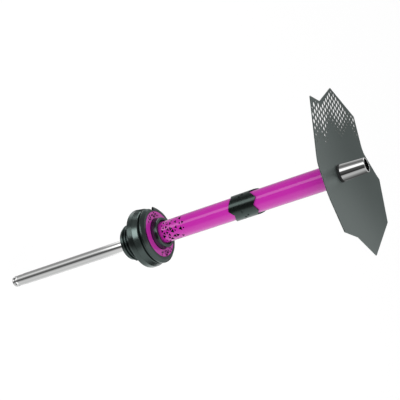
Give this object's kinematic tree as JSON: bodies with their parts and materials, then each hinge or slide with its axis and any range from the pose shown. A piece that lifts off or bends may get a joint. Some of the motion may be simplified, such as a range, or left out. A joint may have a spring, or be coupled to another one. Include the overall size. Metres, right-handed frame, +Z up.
{
  "type": "hookah stem",
  "caption": "Water-pipe stem: threaded vase base with hose port and blow-off ring, coloured sleeve, sliding band, folded perforated tray, bowl adapter and dip tube.",
  "frame": {"origin": "on the stem's axis, in the plane of the flange face that sits on the vase's rim", "axes": "+Z up the stem towards the bowl adapter, -X towards the hose port and the tray's perforated wing, -Y towards the tray's straight edge"},
  "size_m": [0.1865, 0.1935, 0.5015],
  "materials": {
    "black_anodised": "satin black anodised",
    "magenta_anodised": "glossy magenta anodised",
    "graphite_sheet": "satin graphite coated sheet",
    "polished_steel": "polished stainless steel",
    "black_silicone": "matte black silicone",
    "black_acetal": "black acetal"
  },
  "bodies": {
    "stem": {"base_body": "black_anodised", "collar": "black_anodised", "top_cap": "black_anodised", "port_bush": "black_anodised", "inner_tube": "black_anodised", "sleeve": "magenta_anodised", "hub": "polished_steel", "dip_tube": "polished_steel", "diffuser": "polished_steel", "bowl_adapter": "polished_steel", "vase_seal": "black_silicone", "hub_seal": "black_silicone", "collar_ring": "black_silicone", "adapter_seal": "black_silicone", "dip_tube_ring": "black_silicone", "cap_ring": "black_silicone", "ball_cage": "black_acetal", "lower_spacer": "black_acetal", "upper_spacer": "black_acetal"},
    "purge_plate": {"purge_plate": "magenta_anodised"},
    "band_rings": {"band_lower_ring": "black_silicone", "band_upper_ring": "black_silicone"},
    "band": {"band": "black_anodised"},
    "tray_washer": {"tray_washer": "black_silicone"},
    "tray": {"tray": "graphite_sheet"},
    "purge_ball_1": {"purge_ball_1": "polished_steel"},
    "purge_ball_2": {"purge_ball_2": "polished_steel"},
    "purge_ball_3": {"purge_ball_3": "polished_steel"},
    "purge_ball_4": {"purge_ball_4": "polished_steel"},
    "purge_ball_5": {"purge_ball_5": "polished_steel"}
  },
  "joints": [
    {"name": "purge_plate_turn", "type": "hinge", "parent": "stem", "child": "purge_plate", "pos_m": [0, 0, 0.0231], "axis": [0, 0, 1], "continuous": true},
    {"name": "band_slide", "type": "slide", "parent": "stem", "child": "band_rings", "axis": [0, 0, 1], "range_m": [-0.085, 0.085]},
    {"name": "band_turn", "type": "hinge", "parent": "band_rings", "child": "band", "pos_m": [0, 0, 0.145], "axis": [0, 0, 1], "continuous": true},
    {"name": "tray_turn", "type": "hinge", "parent": "stem", "child": "tray_washer", "pos_m": [0, 0, 0.2592], "axis": [0, 0, 1], "continuous": true},
    {"name": "tray_lift", "type": "slide", "parent": "tray_washer", "child": "tray", "axis": [0, 0, 1], "range_m": [0, 0.045]},
    {"name": "purge_ball_1_lift", "type": "slide", "parent": "stem", "child": "purge_ball_1", "axis": [0, 0, 1], "range_m": [0, 0.001]},
    {"name": "purge_ball_2_lift", "type": "slide", "parent": "stem", "child": "purge_ball_2", "axis": [0, 0, 1], "range_m": [0, 0.001]},
    {"name": "purge_ball_3_lift", "type": "slide", "parent": "stem", "child": "purge_ball_3", "axis": [0, 0, 1], "range_m": [0, 0.001]},
    {"name": "purge_ball_4_lift", "type": "slide", "parent": "stem", "child": "purge_ball_4", "axis": [0, 0, 1], "range_m": [0, 0.001]},
    {"name": "purge_ball_5_lift", "type": "slide", "parent": "stem", "child": "purge_ball_5", "axis": [0, 0, 1], "range_m": [0, 0.001]}
  ]
}
